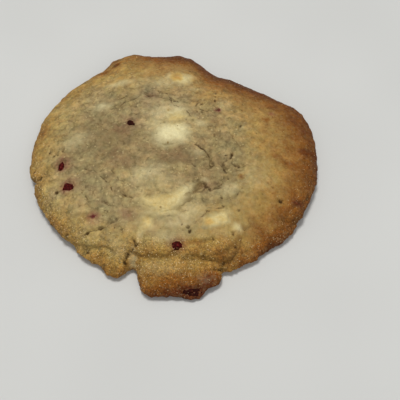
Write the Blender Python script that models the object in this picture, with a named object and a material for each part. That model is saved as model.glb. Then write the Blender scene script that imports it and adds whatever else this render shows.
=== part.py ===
"""A soft-baked cookie with white chocolate and berry pieces, at its real size.

Metres, +Z up. The origin is the middle of the cookie's box, on its flat underside.
-Y is the front, where the dough ran out into a thin tongue below a thick rolled edge.
Places on the cookie are given from the middle of its round, in millimetres.
"""
import math

import bmesh
import bpy
from mathutils import Euler, Matrix, Vector, noise

MM = 0.001

# The round and its heights.
ROUND_CENTRE = Vector((0.0, 3.1 * MM, 0.0))     # the tongue takes the box's middle forward
ROUND_HALF_WIDTH = 50.6 * MM                    # left to right
ROUND_HALF_DEPTH = 49.3 * MM                    # front to back
CENTRE_HEIGHT = 13.2 * MM
SHOULDER_HEIGHT = 10.4 * MM                     # of the dome carried out to the rim
RIM_MIDDLE_HEIGHT = 3.2 * MM                    # where the edge stands furthest out
UNDERSIDE_SINK = 0.35 * MM                      # cut away to leave a flat underside

# The upper right side is straight, as if baked against a neighbour.
FLAT_SIDE_ANGLE = 58.0
FLAT_SIDE_DISTANCE = 41.6 * MM
FLAT_SIDE_SOFTNESS = 1.2 * MM

# Swellings of an edge: middle angle, half width and soft width in degrees, and reach in mm.
ROUND_LOBES = (
    (113.0, 3.0, 10.0, 3.6),        # bulge at the back
    (84.0, 2.0, 8.0, 1.4),          # corner where the straight side begins
    (68.0, 2.0, 7.0, -1.2),         # dent in the straight side
    (-165.0, 0.3, 3.2, -1.6),       # notch on the left
    (-39.0, 3.0, 9.0, 0.8),
)
FOOT_LOBES = (
    (-87.0, 11.2, 5.6, 6.6),        # the tongue
    (-76.2, 0.8, 3.2, -2.0),        # its rounded right corner
    (-111.6, 1.4, 5.0, 3.1),        # skirt left of the tongue
    (-105.6, 0.8, 2.4, -2.0),       # notch between them
    (-71.2, 0.3, 2.4, -0.9),        # notch right of the tongue
    (-65.0, 7.0, 4.0, 0.8),
    (-122.5, 2.5, 6.0, 1.1),
)
EDGE_WOBBLE = 0.45 * MM

# At the front the thick body ends in a scalloped roll, set back on a thinner foot.
FRONT_MIDDLE, FRONT_HALF, FRONT_SOFT = -84.0, 34.0, 16.0
ROLL_SET_BACKS = (
    (-98.0, 12.0, 26.0, 5.0),
    (-86.5, 1.0, 6.0, 2.6),         # valley between the two scallops
    (-51.0, 2.0, 17.0, 8.2),
)
ROLL_MIDDLE_HEIGHT = 6.8 * MM
FOOT_HEIGHT = 7.8 * MM
FOOT_SLOPE = 0.37
FOOT_RIM_MIDDLE_HEIGHT = 2.1 * MM
FOOT_RISES = (                      # the foot is thicker at both ends
    (-50.0, 8.0, 20.0, 1.3),
    (-122.0, 12.0, 12.0, 1.2),
)
FOOT_HIDDEN_INSET = 4.0 * MM
FOOT_SHOWS_FROM = 0.9 * MM          # set back of the roll from which the foot is whole

# How squarely the edges turn over: a higher power keeps the top flat nearer the edge.
CROWN_TOP_POWER, CROWN_UNDER_POWER = 5.0, 14.0
ROLL_TOP_POWER, ROLL_UNDER_POWER = 3.4, 6.0
FOOT_TOP_POWER, FOOT_UNDER_POWER = 9.0, 24.0

# Uneven dough: size of the lumps and their height.
LUMPS = ((24.0 * MM, 0.75 * MM), (9.0 * MM, 0.4 * MM), (3.8 * MM, 0.16 * MM))

# Swells of the top: middle x and y, half width and half depth, height, all in mm.
SWELLS = (
    (-2.7, -17.5, 10.5, 11.5, 1.7),     # dough over the large front slab
    (-1.2, 2.5, 9.0, 8.0, 0.7),
    (13.6, -32.0, 10.0, 7.5, 1.3),
    (2.6, 30.0, 9.0, 7.0, 0.7),
    (-20.5, 27.5, 9.0, 5.0, 0.6),
    (-25.4, 15.7, 6.0, 5.0, 0.7),
    (-37.0, 2.0, 9.0, 12.0, 0.9),
    (29.0, -17.0, 9.0, 8.0, 0.8),
    (-18.0, -31.0, 8.0, 5.0, 0.5),
)

# Grooves of the top: width and depth in mm, then the points they pass.
GROOVES = (
    (3.6, 0.8, ((-9.0, 21.3), (-17.8, 17.8), (-23.5, 12.6), (-27.0, 7.6))),
    (3.0, 0.6, ((-9.0, 21.3), (-3.6, 22.8), (1.2, 19.6))),
    (2.8, 0.8, ((8.3, -2.4), (11.7, -5.6), (13.0, -11.3))),
    (2.8, 0.8, ((16.4, -7.8), (17.7, -10.5), (19.0, -14.3))),
    (2.6, 0.8, ((6.6, -31.6), (8.4, -29.4), (11.6, -26.8), (18.0, -26.2))),
    (2.8, 0.6, ((6.4, -22.4), (10.6, -19.4), (12.9, -18.5), (15.5, -21.0))),
    (3.0, 1.0, ((-27.3, -37.4), (-23.0, -35.5), (-17.5, -32.4), (-12.0, -32.0))),
    (3.0, 1.3, ((-14.6, -47.0), (-13.8, -42.0), (-11.8, -39.4), (-10.4, -35.7))),
    (3.0, 1.0, ((-48.0, -13.6), (-44.0, -12.0), (-41.0, -11.0))),
    (2.8, 0.5, ((-27.8, -14.7), (-24.7, -19.8), (-21.1, -23.4), (-15.9, -23.6))),
    (3.2, 0.9, ((27.0, -30.5), (32.0, -29.5), (37.0, -31.0))),
)

# White chocolate: middle x and y, length, width, thickness, how far its top stands
# above the dough around it (all in mm), turn, tilt to the side and tilt to the front.
CHOCOLATE = (
    (-1.2, 2.4, 13.6, 11.0, 5.0, 0.15, 8.0, 4.0, -3.0),
    (-2.2, -22.8, 17.4, 12.4, 5.6, -0.4, 7.0, -3.0, -6.0),
    (13.8, -33.2, 10.6, 6.6, 4.6, -0.2, 30.0, -4.0, 15.0),
    (-8.2, -33.4, 4.0, 7.0, 3.6, 0.15, -14.0, 0.0, 6.0),
    (2.8, 30.4, 8.6, 5.4, 4.0, 0.15, -22.0, 3.0, -6.0),
)
CHOCOLATE_SQUARENESS = 2.8
CHOCOLATE_LUMPS = 0.45 * MM

# Berry pieces, stated in the same way.
BERRIES = (
    (-37.9, -9.8, 2.9, 4.6, 2.8, 0.35, -28.0, 0.0, 0.0),
    (-34.9, -18.9, 4.2, 3.4, 3.0, 0.45, 8.0, 0.0, 0.0),
    (1.5, -40.4, 4.4, 3.0, 2.8, 0.4, 12.0, 0.0, 20.0),
    (-15.1, 7.5, 3.6, 2.8, 2.2, 0.0, -40.0, 0.0, 0.0),
)
TONGUE_BERRY = (6.4, -54.6, 6.8, 3.0, 2.4, 0.2, 2.0, 0.0, 44.0)
BERRY_SQUARENESS = 2.3
BERRY_LUMPS = 0.3 * MM

# Flecks that are one with the dough: x, y, length, width and height in mm.
FLECKS = (
    (-25.8, -31.9, 3.0, 2.4, 0.6),
    (-9.2, 21.2, 2.6, 1.8, 0.5),
    (15.0, 14.7, 2.2, 1.9, 0.5),
    (20.1, -35.6, 3.4, 2.6, 0.8),
    (-14.7, -29.1, 2.6, 2.2, 0.5),
    (31.2, 9.4, 2.0, 1.8, 0.4),
    (22.7, -15.2, 2.4, 2.0, 0.5),
    (10.0, -18.6, 2.8, 2.0, 0.6),
)
FLECK_SINK = 0.6

GAP = 0.35 * MM                 # left between the dough and a piece set in it
CROWN_SEGMENTS, CROWN_RINGS = 208, 104
FOOT_SEGMENTS, FOOT_RINGS = 264, 56
DOUGH_TRIANGLES = 8000
FLOOR_CUTTER_DEPTH = 20.0 * MM
CHOCOLATE_SUBDIVISIONS, BERRY_SUBDIVISIONS, FLECK_SUBDIVISIONS = 3, 2, 2


# ---- curves and relief ----------------------------------------------------

def smooth(low, high, value):
    """Runs from 0 at low to 1 at high, level at both ends."""
    share = min(max((value - low) / (high - low), 0.0), 1.0)
    return share * share * (3.0 - 2.0 * share)


def plateau(angle, middle, half, soft):
    """1 within half of the middle angle, 0 beyond its soft width, all in degrees."""
    away = abs((angle - middle + 180.0) % 360.0 - 180.0)
    return 1.0 - smooth(half, half + soft, away)


def lobes(angle, rows):
    return sum(reach * MM * plateau(angle, middle, half, soft) for middle, half, soft, reach in rows)


def front(angle):
    return plateau(angle, FRONT_MIDDLE, FRONT_HALF, FRONT_SOFT)


def round_edge(angle):
    """Radius of the whole round at an angle in degrees."""
    turn = math.radians(angle)
    radius = 1.0 / math.hypot(math.cos(turn) / ROUND_HALF_WIDTH, math.sin(turn) / ROUND_HALF_DEPTH)
    facing = math.cos(math.radians(angle - FLAT_SIDE_ANGLE))
    if facing > 0.1:
        straight = FLAT_SIDE_DISTANCE / facing
        blend = math.hypot(radius - straight, FLAT_SIDE_SOFTNESS)
        radius = 0.5 * (radius + straight - blend)
    wobble = noise.noise(Vector((4.0 * math.cos(turn), 4.0 * math.sin(turn), 2.7)))
    return radius + lobes(angle, ROUND_LOBES) + EDGE_WOBBLE * wobble


def crown_edge(angle):
    return round_edge(angle) - lobes(angle, ROLL_SET_BACKS)


def foot_edge(angle):
    """The foot comes out from below the thick body where that is set back."""
    hidden = 1.0 - smooth(0.0, FOOT_SHOWS_FROM, lobes(angle, ROLL_SET_BACKS))
    return round_edge(angle) + lobes(angle, FOOT_LOBES) - hidden * FOOT_HIDDEN_INSET


def turned_over(share, power):
    """Height share of an edge that turns over squarely, from 1 inside to 0 at the edge."""
    return math.sqrt(max(1.0 - min(share, 1.0) ** power, 0.0))


def line_distance(point, points):
    """Distance of a plan point from a run of straight lines."""
    nearest = math.inf
    for start, end in zip(points[:-1], points[1:]):
        along = end - start
        share = min(max((point - start).dot(along) / along.length_squared, 0.0), 1.0)
        nearest = min(nearest, (point - start - along * share).length)
    return nearest


GROOVE_LINES = [(width * MM, depth * MM, [Vector((x, y)) * MM for x, y in points])
                for width, depth, points in GROOVES]


def relief(x, y):
    """Height that the top's lumps, swells and grooves add at a place on the round."""
    height = sum(rise * noise.noise(Vector((x, y, 0.0)) / size) for size, rise in LUMPS)
    for middle_x, middle_y, half_width, half_depth, rise in SWELLS:
        away = math.hypot((x - middle_x * MM) / (half_width * MM), (y - middle_y * MM) / (half_depth * MM))
        height += rise * MM * (1.0 - smooth(0.25, 1.0, away))
    for width, depth, points in GROOVE_LINES:
        away = line_distance(Vector((x, y)), points)
        height -= depth * (1.0 - smooth(0.0, 0.5 * width, away))
    return height


def crown_top(x, y):
    """Height of the thick body's top at a place on the round."""
    angle = math.degrees(math.atan2(y, x))
    share = min(math.hypot(x, y) / crown_edge(angle), 1.0)
    middle = RIM_MIDDLE_HEIGHT + front(angle) * (ROLL_MIDDLE_HEIGHT - RIM_MIDDLE_HEIGHT)
    dome = CENTRE_HEIGHT - (CENTRE_HEIGHT - SHOULDER_HEIGHT) * share * share
    fall = turned_over(share, CROWN_TOP_POWER + front(angle) * (ROLL_TOP_POWER - CROWN_TOP_POWER))
    return middle + (dome - middle + relief(x, y)) * fall


def foot_top(x, y):
    angle = math.degrees(math.atan2(y, x))
    share = min(math.hypot(x, y) / foot_edge(angle), 1.0)
    height = FOOT_HEIGHT + lobes(angle, FOOT_RISES)
    height *= 1.0 - FOOT_SLOPE * share ** 4
    height += 0.5 * relief(1.3 * x, 1.3 * y) * smooth(0.6, 0.8, share)
    fall = turned_over(share, FOOT_TOP_POWER)
    return FOOT_RIM_MIDDLE_HEIGHT + (height - FOOT_RIM_MIDDLE_HEIGHT) * fall


def underside(share, middle, power):
    return (middle + UNDERSIDE_SINK) * (1.0 - turned_over(share, power)) - UNDERSIDE_SINK


# ---- making objects -------------------------------------------------------

def new_collection(name):
    collection = bpy.data.collections.new(name)
    bpy.context.scene.collection.children.link(collection)
    return collection


def new_object(name, shape, collection, material=None):
    """Links a bmesh as a smooth-shaded object."""
    mesh = bpy.data.meshes.new(name)
    shape.to_mesh(mesh)
    shape.free()
    mesh.shade_smooth()
    if material:
        mesh.materials.append(material)
    piece = bpy.data.objects.new(name, mesh)
    collection.objects.link(piece)
    return piece


def new_material(name, colour, roughness):
    material = bpy.data.materials.new(name)
    material.use_nodes = True
    shader = material.node_tree.nodes["Principled BSDF"]
    shader.inputs["Base Color"].default_value = (*colour, 1.0)
    shader.inputs["Roughness"].default_value = roughness
    shader.inputs["Metallic"].default_value = 0.0
    return material


def hide_cutter(piece):
    piece.hide_render = True
    piece.display_type = "WIRE"


def keep_evaluated(piece):
    """Turns an object's modifiers into its plain mesh."""
    graph = bpy.context.evaluated_depsgraph_get()
    mesh = bpy.data.meshes.new_from_object(piece.evaluated_get(graph))
    piece.modifiers.clear()
    piece.data = mesh


def boolean(piece, operation, other):
    """Adds a Boolean with one object or with a whole collection."""
    step = piece.modifiers.new(operation.title(), "BOOLEAN")
    step.operation = operation
    step.solver = "EXACT"
    if isinstance(other, bpy.types.Collection):
        step.operand_type = "COLLECTION"
        step.collection = other
    else:
        step.object = other


def moulded_ball(segments, rings, mould):
    """A ball whose points the mould places from their angle, share of the radius and side."""
    shape = bmesh.new()
    bmesh.ops.create_uvsphere(shape, u_segments=segments, v_segments=rings, radius=1.0)
    for point in shape.verts:
        share = math.hypot(point.co.x, point.co.y)
        angle = math.degrees(math.atan2(point.co.y, point.co.x))
        point.co = ROUND_CENTRE + mould(angle, share, point.co.z > 0.0)
    return shape


def mould_crown(angle, share, above):
    radius = share * crown_edge(angle)
    x = radius * math.cos(math.radians(angle))
    y = radius * math.sin(math.radians(angle))
    if above:
        return Vector((x, y, crown_top(x, y)))
    middle = RIM_MIDDLE_HEIGHT + front(angle) * (ROLL_MIDDLE_HEIGHT - RIM_MIDDLE_HEIGHT)
    power = CROWN_UNDER_POWER + front(angle) * (ROLL_UNDER_POWER - CROWN_UNDER_POWER)
    return Vector((x, y, underside(share, middle, power)))


def mould_foot(angle, share, above):
    radius = share * foot_edge(angle)
    x = radius * math.cos(math.radians(angle))
    y = radius * math.sin(math.radians(angle))
    if above:
        return Vector((x, y, foot_top(x, y)))
    return Vector((x, y, underside(share, FOOT_RIM_MIDDLE_HEIGHT, FOOT_UNDER_POWER)))


def lump(row, top_height, squareness, roughness, subdivisions, margin=0.0):
    """A rounded block set in the dough, its top level with top_height plus its own rise."""
    x, y, length, width, thickness, rise, turn, tilt_side, tilt_front = row
    half = Vector((length, width, thickness)) * 0.5 * MM
    middle = Vector((x * MM, y * MM, 0.0))
    middle.z = top_height(middle.x, middle.y) + rise * MM - half.z
    spin = Euler((math.radians(tilt_front), math.radians(tilt_side), math.radians(turn)))
    place = Matrix.Translation(ROUND_CENTRE + middle) @ spin.to_matrix().to_4x4()
    shape = bmesh.new()
    bmesh.ops.create_icosphere(shape, subdivisions=subdivisions, radius=1.0)
    for point in shape.verts:
        outward = point.co.normalized()
        size = sum(abs(value) ** squareness for value in outward) ** (1.0 / squareness)
        uneven = 1.0 + roughness / half.z * noise.noise(outward * 1.7 + middle * 900.0)
        point.co = Vector(outward[axis] / size * (half[axis] * uneven + margin) for axis in range(3))
    bmesh.ops.transform(shape, matrix=place, verts=shape.verts)
    return shape


def fleck(row):
    """A small rounded bit that sits on the top and goes down into the dough."""
    x, y, length, width, height = row
    top = crown_top(x * MM, y * MM)
    place = Matrix.Translation(ROUND_CENTRE + Vector((x * MM, y * MM, top - FLECK_SINK * MM)))
    size = Matrix.Diagonal((length * 0.5 * MM, width * 0.5 * MM, (height + FLECK_SINK) * MM, 1.0))
    shape = bmesh.new()
    bmesh.ops.create_icosphere(shape, subdivisions=FLECK_SUBDIVISIONS, radius=1.0)
    bmesh.ops.transform(shape, matrix=place @ size, verts=shape.verts)
    return shape


# ---- the cookie -----------------------------------------------------------

def make_dough(parts, cutters, material):
    """The thick body and its foot as one, thinned, with flecks, and flat below."""
    dough = new_object("dough", moulded_ball(CROWN_SEGMENTS, CROWN_RINGS, mould_crown), parts, material)
    foot = new_object("foot", moulded_ball(FOOT_SEGMENTS, FOOT_RINGS, mould_foot), cutters)
    boolean(dough, "UNION", foot)
    keep_evaluated(dough)
    bpy.data.objects.remove(foot)

    thin = dough.modifiers.new("Thin", "DECIMATE")
    thin.ratio = DOUGH_TRIANGLES / sum(len(face.vertices) - 2 for face in dough.data.polygons)
    keep_evaluated(dough)

    flecks = new_collection("flecks")
    for number, row in enumerate(FLECKS, 1):
        new_object("fleck_{}".format(number), fleck(row), flecks)
    boolean(dough, "UNION", flecks)
    keep_evaluated(dough)
    for piece in list(flecks.objects):
        bpy.data.objects.remove(piece)
    bpy.data.collections.remove(flecks)

    block = bmesh.new()
    bmesh.ops.create_cube(block, size=1.0)
    width = 4.0 * ROUND_HALF_WIDTH
    bmesh.ops.scale(block, vec=(width, width, FLOOR_CUTTER_DEPTH), verts=block.verts)
    bmesh.ops.translate(block, vec=(0.0, 0.0, -0.5 * FLOOR_CUTTER_DEPTH), verts=block.verts)
    floor_cutter = new_object("floor_cutter", block, cutters)
    hide_cutter(floor_cutter)
    boolean(dough, "DIFFERENCE", floor_cutter)
    return dough


def set_in(dough, pockets, parts, name, row, top_height, material, look):
    """One piece, and the pocket that holds it clear of the dough."""
    squareness, roughness, subdivisions = look
    shape = lump(row, top_height, squareness, roughness, subdivisions)
    new_object(name, shape, parts, material)
    hollow = lump(row, top_height, squareness, roughness, subdivisions, GAP)
    pocket = new_object(name + "_pocket", hollow, pockets)
    hide_cutter(pocket)
    boolean(dough, "DIFFERENCE", pocket)


def main():
    for piece in list(bpy.data.objects):
        bpy.data.objects.remove(piece)
    parts = new_collection("cookie")
    cutters = new_collection("cutters")

    crumb = new_material("dough", (0.36, 0.23, 0.10), 0.75)
    milky = new_material("white_chocolate", (0.72, 0.62, 0.36), 0.45)
    wine = new_material("berry", (0.12, 0.01, 0.02), 0.4)

    dough = make_dough(parts, cutters, crumb)
    chocolate_look = (CHOCOLATE_SQUARENESS, CHOCOLATE_LUMPS, CHOCOLATE_SUBDIVISIONS)
    for number, row in enumerate(CHOCOLATE, 1):
        name = "white_chocolate_{}".format(number)
        set_in(dough, cutters, parts, name, row, crown_top, milky, chocolate_look)
    berry_look = (BERRY_SQUARENESS, BERRY_LUMPS, BERRY_SUBDIVISIONS)
    for number, row in enumerate(BERRIES, 1):
        set_in(dough, cutters, parts, "berry_piece_{}".format(number), row, crown_top, wine, berry_look)
    number = len(BERRIES) + 1
    set_in(dough, cutters, parts, "berry_piece_{}".format(number), TONGUE_BERRY, foot_top, wine, berry_look)


main()
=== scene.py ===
"""The looks of a soft-baked cookie with white chocolate and berry pieces.

Places on the cookie are in millimetres from the middle of its round: x to the right, y to the
back. The dough is closed over its pieces, roughened, and coloured by attributes of its points:
how far it is baked, how damp it stayed, and where chocolate or juice shows through it.
"""
import math

import bmesh
import bpy
import numpy as np
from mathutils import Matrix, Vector, noise
from mathutils.bvhtree import BVHTree


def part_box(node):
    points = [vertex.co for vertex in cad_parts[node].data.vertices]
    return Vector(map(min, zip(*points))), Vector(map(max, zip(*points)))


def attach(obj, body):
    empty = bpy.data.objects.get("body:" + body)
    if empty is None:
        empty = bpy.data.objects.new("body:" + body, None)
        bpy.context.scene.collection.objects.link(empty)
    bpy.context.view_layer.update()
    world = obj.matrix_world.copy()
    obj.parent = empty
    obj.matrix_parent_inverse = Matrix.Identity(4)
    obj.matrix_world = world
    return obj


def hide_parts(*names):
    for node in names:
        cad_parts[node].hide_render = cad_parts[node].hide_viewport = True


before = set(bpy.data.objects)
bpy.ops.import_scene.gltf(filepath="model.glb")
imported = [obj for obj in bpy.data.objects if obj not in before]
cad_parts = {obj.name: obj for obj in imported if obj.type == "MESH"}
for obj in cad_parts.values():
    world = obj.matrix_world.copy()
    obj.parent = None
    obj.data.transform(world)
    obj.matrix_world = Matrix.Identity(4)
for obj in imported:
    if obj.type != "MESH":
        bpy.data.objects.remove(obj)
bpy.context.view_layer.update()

MM = 0.001
ROUND_MIDDLE_Y = 3.1            # mm from the origin to the middle of the round


# ---- what the top shows ----------------------------------------------

# How baked the edge is: direction in degrees, share at the very edge, and reach inwards in mm.
BAKED_EDGE = (
    (-180, 0.5, 8.5), (-160, 0.46, 5.4), (-140, 0.52, 4.8), (-120, 0.6, 7.5), (-100, 0.62, 9),
    (-80, 0.66, 10), (-60, 0.74, 11), (-40, 0.86, 13.2), (-20, 0.89, 17), (0, 0.91, 19.6),
    (20, 0.95, 20.5), (40, 1.04, 16.8), (60, 1.1, 15.6), (80, 1.12, 15.6), (100, 0.92, 20),
    (120, 0.66, 16), (140, 0.46, 9), (160, 0.4, 8), (180, 0.5, 10.5),
)
# Soft oval spots of the top: x, y, half length, half width, strength, and a turn in degrees if
# they have one. Dough that stayed damp:
DAMP = (
    (-18, 1.5, 8.5, 7.5, 1), (-16.5, -9.5, 8, 5.5, 0.7), (1.5, -8, 13, 6.5, 0.88),
    (-5.6, -12.2, 5, 4, 0.74), (-20, -6, 6, 4.4, 0.9), (-8, -3.5, 14, 7, 0.6), (14, -13, 8, 9, 0.6),
    (5.8, -16.5, 6, 3.5, 0.6, 20), (-10, 19.5, 8, 3.4, 0.4), (12, -1, 8, 8, 0.45),
    (-16, 8, 8, 5, 0.35, 30), (-25, 0, 14, 12, 0.72), (-27, 8, 11, 10, 0.56),
    (6.8, -22.6, 3.2, 1.5, 0.8, 50), (1, -17.5, 8, 4, 0.35),
)
# Dough that is greyish with flour and fat:
GREYISH = (
    (-26, -18, 11, 7, 0.85, -35), (-20, -27, 11, 5.5, 0.85, -20), (-8, -31, 9, 4, 0.55),
    (-7, 20, 17, 6, 0.52), (13, 12, 10, 7, 0.38), (20, -6, 7, 14, 0.5), (15, -22, 9, 5, 0.5),
    (-31, -4, 10, 13, 0.6), (-25, 14, 9, 10, 0.65, 40), (8, -34, 12, 4, 0.25),
    (23.5, -32.5, 4, 6, 0.25), (2.6, 17.6, 5, 2.8, 0.6), (7.4, 10.4, 2.4, 1.8, 0.7),
)
# White chocolate that shows faintly through the dough:
MILKY = (
    (-4.2, 11.6, 5, 6.2, 0.42, -25), (0.4, 14.2, 4.8, 2.7, 0.45, -20), (-0.6, 10.6, 6.5, 2.6, 0.62),
    (-2, 3.5, 8.2, 7.2, 0.36, 10), (-2.6, -38.4, 4.4, 2.4, 0.34), (0, 11.6, 4.6, 2.6, 0.8),
    (0.6, 9.3, 4.6, 2.4, 1), (-3, 27, 7, 3, 0.3), (8.2, -6.6, 3, 2.4, 0.24),
    (-2.6, -29.4, 7.6, 3.2, 0.8, 6), (-6, 6.5, 6, 5, 0.3), (0.8, 11.6, 4.4, 4.2, 0.66, -20),
    (8.9, 6.4, 3, 1.8, 0.4, -10), (-8.5, -15.8, 6.5, 5.4, 0.44, 20), (-4.6, -20.5, 9, 5, 0.3, 10),
    # The spot at 10.5, -50.5 is pale sugar on the tongue with a painted sheen, not chocolate.
    (10.5, -50.5, 4, 2.4, 0.1), (-20, 27.3, 5.6, 1.9, 0.5, 10), (-25.4, 15.2, 3.6, 2.6, 0.52, 10),
    (-33.8, -0.2, 6, 3.8, 0.32, 30), (20.6, -34.6, 2.2, 2, 0.8, -30),
    (18.7, -21, 4.6, 2.8, 0.32, 10), (-9.9, -36.4, 1.3, 4, 0.55, -14),
    (1.9, -33.8, 5.2, 1.6, 0.34, 4), (10.6, -18, 1.6, 1, 0.45), (27.6, -17.6, 7, 5, 0.16),
    (23.6, 5.4, 1.6, 0.9, 0.24, 60), (7.6, 24, 3.6, 1.6, 0.18), (-4, -47.6, 9, 3, 0.14),
    (-18, -40, 7, 3, 0.14, -20), (-12.4, -44, 1.6, 3.4, 0.42), (-1.6, 29.8, 2.6, 2, 0.6),
    (5.4, 29.8, 2.2, 1.6, 0.4), (17.4, -30.6, 2.6, 2.4, 0.5), (2, -29.8, 9.5, 4.6, 0.46),
    (16, -37, 5, 2.4, 0.2), (17.6, 16.4, 4, 3, 0.16),
)
# Berry juice:
JUICY = (
    (-37.4, -9.4, 4, 3.6, 0.5, -30), (-34.2, -18.6, 4.2, 3.4, 0.55),
    (1.9, -40.2, 3.8, 2.8, 0.5, 10), (-15.6, 7.2, 4.4, 3.4, 0.4, -40),
    (-18.4, 4.6, 5, 2.6, 0.26, -20), (-25.6, -31.1, 2.6, 2.4, 0.9), (-9, 20.6, 2.6, 1.8, 0.4),
    (15.2, 13.2, 1.7, 1.3, 0.9), (34.7, 13.3, 1.6, 1.3, 0.55), (-14.4, -30.6, 3, 2.4, 0.5),
    (12, -19.8, 4, 2.6, 0.3, 10), (1.6, -8.5, 9, 4.5, 0.1, -6), (-18.5, -9.5, 5.5, 3.6, 0.16, 20),
    (14, 9, 4, 2.6, 0.16), (7, -54.6, 5.4, 1.8, 0.24), (10.6, -51.4, 2.6, 1.8, 0.26),
    (41.6, -22.8, 3, 1.6, 0.18, 10),
)
# Browner than the dough around them:
SCORCHED = (
    (22.7, -16.3, 1.3, 1.1, 0.65), (32.2, 10.2, 1.8, 1.3, 0.28), (45.4, -2.2, 2.8, 1.5, 0.24, 10),
    (38.4, -8.6, 3.2, 1.8, 0.16, -10), (34.6, -6.4, 2, 1.4, 0.18),
    (32.2, 27.4, 3.4, 1.5, 0.55, -35), (41.1, -23.6, 2.8, 1.5, 0.14, 20),
    (-22.7, 40.4, 2.2, 1.1, 0.36, 30), (-27.4, 36.6, 2.4, 1.3, 0.3, 30), (-46.8, 7, 1.8, 2.6, 0.18),
    (7.5, -54.6, 6.6, 2.2, 0.7), (12, -51.4, 5, 4, 0.26), (2, -55.6, 13, 3.4, 0.38),
    (-4.5, -43.2, 6, 1.5, 0.14), (10, -42.8, 8, 1.7, 0.16), (7.6, -40, 5, 1.3, 0.3),
    (2, -51.4, 15, 5.4, 0.24), (-2.5, -54.4, 7, 2.8, 0.28), (33, -37.6, 9, 2.8, 0.14, 48),
    (31, -20, 5, 7, 0.12), (27, -33, 4.4, 7, 0.12),
)
# Paler than the dough around them:
PALER = (
    (17.4, -46.4, 5, 3.4, 0.1), (16.4, -41, 6, 3.4, 0.12), (26, -38.5, 4, 3, 0.06, 40),
    (-28.5, -39.5, 9, 5.4, 0.24, -35), (-40, -23, 4, 8, 0.18, 30), (-17, -44, 7, 4.4, 0.15, -20),
)
# Soft swellings, stated like the soft spots with their height in mm in place of the strength.
SWELLINGS = (
    (-2.4, -30, 9, 3.4, 0.8), (-6, -40.6, 6, 3.2, 0.5), (12, -41.6, 8, 2.6, 0.4, 4),
    (-19, -38.6, 8, 3.6, 0.5, -14), (-25.6, -39.6, 8, 2.4, 0.6, -35),
)
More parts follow.
